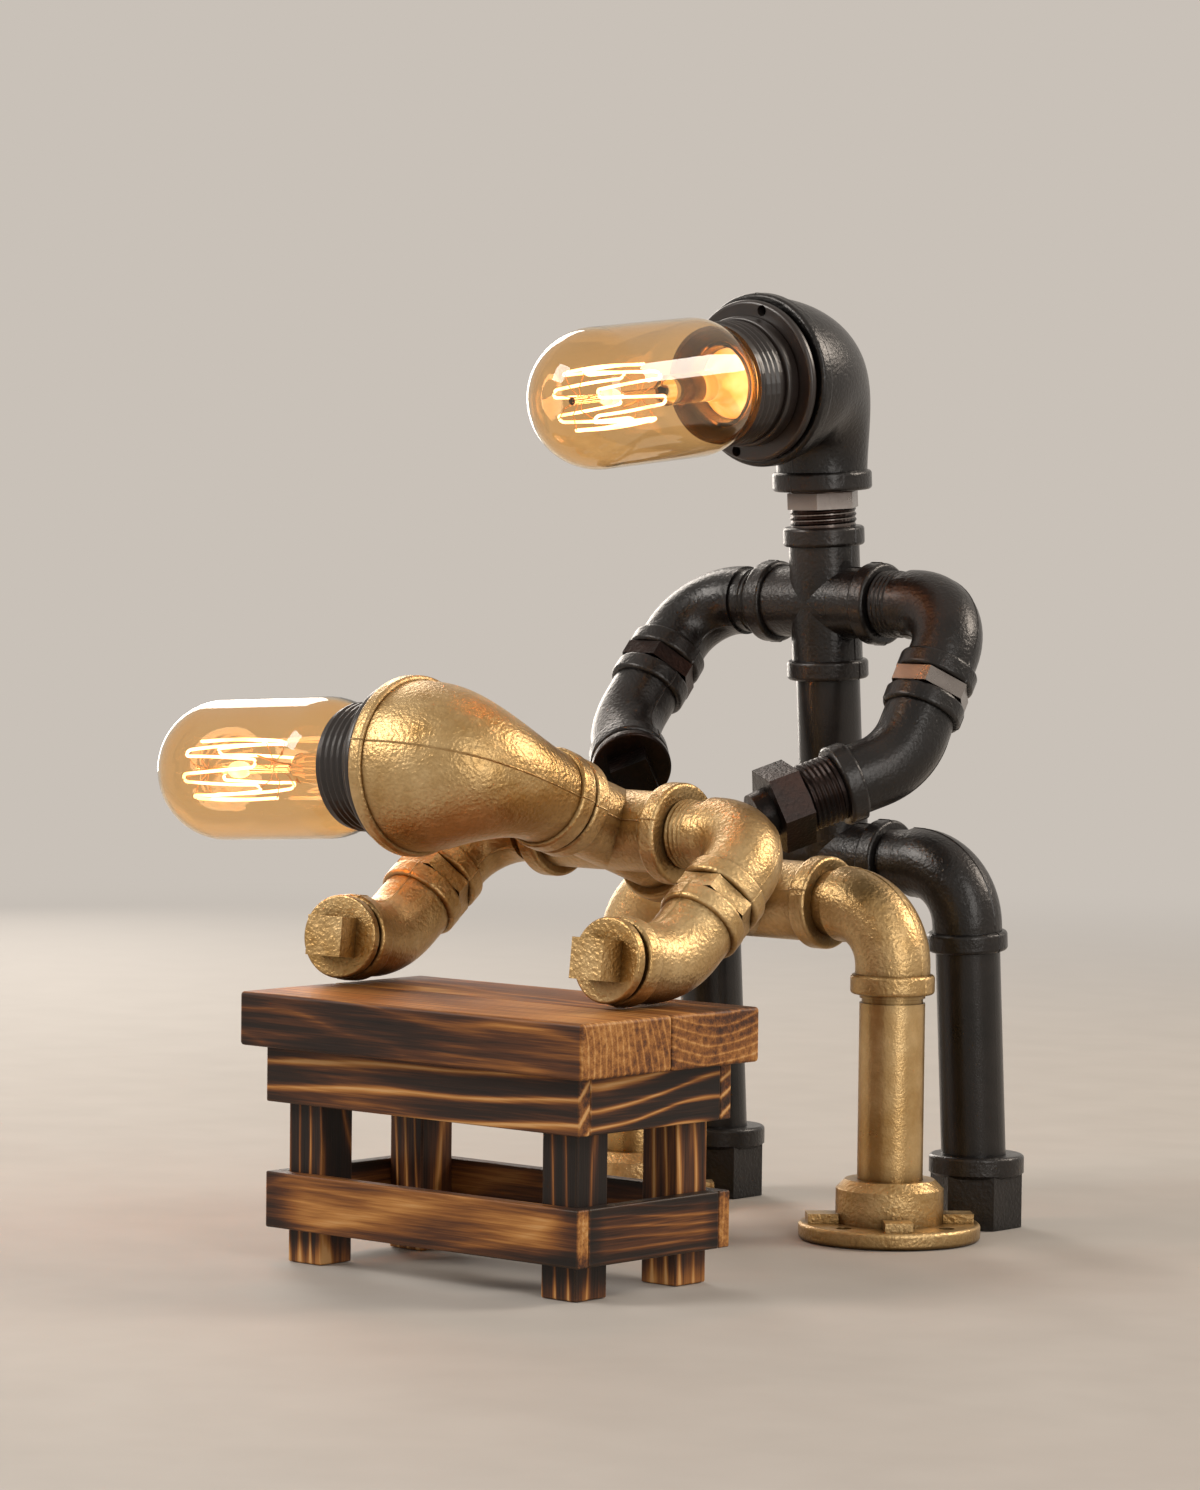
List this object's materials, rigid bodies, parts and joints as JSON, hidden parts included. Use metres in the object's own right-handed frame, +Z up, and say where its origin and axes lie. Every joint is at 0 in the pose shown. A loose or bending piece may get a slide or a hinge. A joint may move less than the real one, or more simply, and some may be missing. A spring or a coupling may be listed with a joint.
{
  "type": "pipe figure table lamp",
  "caption": "Table lamp of screwed iron pipe fittings: a gold figure and a black figure leaning over a small charred timber bench, with tubular filament bulbs as heads.",
  "frame": {"origin": "centre of the bolt circle under the near gold floor flange, on the floor", "axes": "+Z up; -Y is the way both figures lean and the black bulb faces; the gold bulb faces -X; +X from the far legs to the near legs"},
  "size_m": [0.2175, 0.2482, 0.3066],
  "materials": {
    "charred_pine": "torched and brushed, waxed",
    "amber_glass": "clear amber lacquer",
    "clear_glass": "clear",
    "filament": "fine drawn wire",
    "brass_shell": "plain",
    "bakelite": "moulded, satin",
    "gold_pipe": "metallic gold paint, satin",
    "gold_fitting": "metallic gold paint, satin",
    "gold_casting": "metallic gold paint over rough casting",
    "black_pipe": "oiled black, satin",
    "zinc_fitting": "oiled black, satin",
    "black_casting": "black varnish over casting"
  },
  "bodies": {
    "stand": {"bench_legs": "charred_pine", "bench_long_aprons": "charred_pine", "bench_long_rails": "charred_pine", "bench_short_aprons": "charred_pine", "bench_short_rails": "charred_pine", "bench_slab_back": "charred_pine", "bench_slab_front": "charred_pine", "black_chest_cross": "black_casting", "black_foot_cap_far": "black_casting", "black_foot_cap_near": "black_casting", "black_hip_elbow_far": "black_casting", "black_hip_elbow_near": "black_casting", "black_hip_tee": "black_casting", "black_leg_pipe_far": "black_pipe", "black_leg_pipe_near": "black_pipe", "black_neck_nipple": "zinc_fitting", "black_torso_pipe": "black_pipe", "gold_chest_cross": "gold_casting", "gold_floor_flange_far": "gold_casting", "gold_floor_flange_near": "gold_casting", "gold_hip_elbow_far": "gold_casting", "gold_hip_elbow_near": "gold_casting", "gold_hip_tee": "gold_casting", "gold_leg_pipe_far": "gold_pipe", "gold_leg_pipe_near": "gold_pipe", "gold_neck_nipple": "gold_pipe", "gold_spine_pipe": "gold_pipe"},
    "gold_arm_near": {"gold_near_shoulder": "gold_casting", "gold_near_arm_nipple": "gold_fitting", "gold_near_forearm": "gold_casting", "gold_near_hand_plug": "gold_fitting"},
    "gold_arm_far": {"gold_far_shoulder": "gold_casting", "gold_far_arm_nipple": "gold_fitting", "gold_far_forearm": "gold_casting", "gold_far_hand_plug": "gold_fitting"},
    "black_arm_near": {"black_near_shoulder": "black_casting", "black_near_arm_nipple": "zinc_fitting"},
    "black_forearm_near": {"black_near_forearm": "black_casting", "black_near_hand_bushing": "zinc_fitting"},
    "black_arm_far": {"black_far_shoulder": "black_casting", "black_far_arm_nipple": "zinc_fitting"},
    "black_forearm_far": {"black_far_forearm": "black_casting", "black_far_hand_plug": "zinc_fitting"},
    "black_head": {"black_head_elbow": "black_casting", "black_lampholder_shell": "bakelite", "black_lampholder_ring": "bakelite", "black_lampholder_insert": "brass_shell"},
    "black_bulb": {"black_bulb_cap": "brass_shell", "black_bulb_glass": "amber_glass", "black_bulb_stem": "clear_glass", "black_bulb_filament": "filament"},
    "gold_head": {"gold_head_elbow": "gold_casting", "gold_lampholder_shell": "bakelite", "gold_lampholder_ring": "bakelite", "gold_lampholder_insert": "brass_shell"},
    "gold_bulb": {"gold_bulb_cap": "brass_shell", "gold_bulb_glass": "amber_glass", "gold_bulb_stem": "clear_glass", "gold_bulb_filament": "filament"}
  },
  "joints": [
    {"name": "gold_shoulder_near", "type": "hinge", "parent": "stand", "child": "gold_arm_near", "pos_m": [0.0071, -0.07436, 0.13306], "axis": [-1, 0, 0], "range_deg": [0, 60]},
    {"name": "gold_shoulder_far", "type": "hinge", "parent": "stand", "child": "gold_arm_far", "pos_m": [-0.1109, -0.07436, 0.13306], "axis": [-1, 0, 0], "range_deg": [0, 10]},
    {"name": "black_shoulder_near", "type": "hinge", "parent": "stand", "child": "black_arm_near", "pos_m": [0.0026, 0.03117, 0.20489], "axis": [-1, 0, 0], "range_deg": [-5, 40]},
    {"name": "black_shoulder_far", "type": "hinge", "parent": "stand", "child": "black_arm_far", "pos_m": [-0.1099, 0.03117, 0.20489], "axis": [-1, 0, 0], "range_deg": [-10, 40]},
    {"name": "black_elbow_near", "type": "hinge", "parent": "black_arm_near", "child": "black_forearm_near", "pos_m": [0.0026, 0.0158, 0.1803], "axis": [0, -0.5299, -0.848], "range_deg": [-30, 15]},
    {"name": "black_elbow_far", "type": "hinge", "parent": "black_arm_far", "child": "black_forearm_far", "pos_m": [-0.1099, 0.01177, 0.18334], "axis": [0, -0.6691, -0.7431], "range_deg": [-30, 60]},
    {"name": "black_neck", "type": "hinge", "parent": "stand", "child": "black_head", "pos_m": [-0.0549, 0.02856, 0.2423], "axis": [0, -0.0698, 0.9976], "range_deg": [-60, 60]},
    {"name": "gold_neck", "type": "hinge", "parent": "stand", "child": "gold_head", "pos_m": [-0.0549, -0.10274, 0.14278], "axis": [0, 0.9461, -0.3239], "range_deg": [0, 30]},
    {"name": "black_bulb_slide", "type": "slide", "parent": "black_head", "child": "black_bulb", "axis": [0, -0.9954, -0.0958], "range_m": [0, 0.03]},
    {"name": "gold_bulb_slide", "type": "slide", "parent": "gold_head", "child": "gold_bulb", "axis": [-0.9981, -0.0198, -0.0578], "range_m": [0, 0.03]}
  ]
}
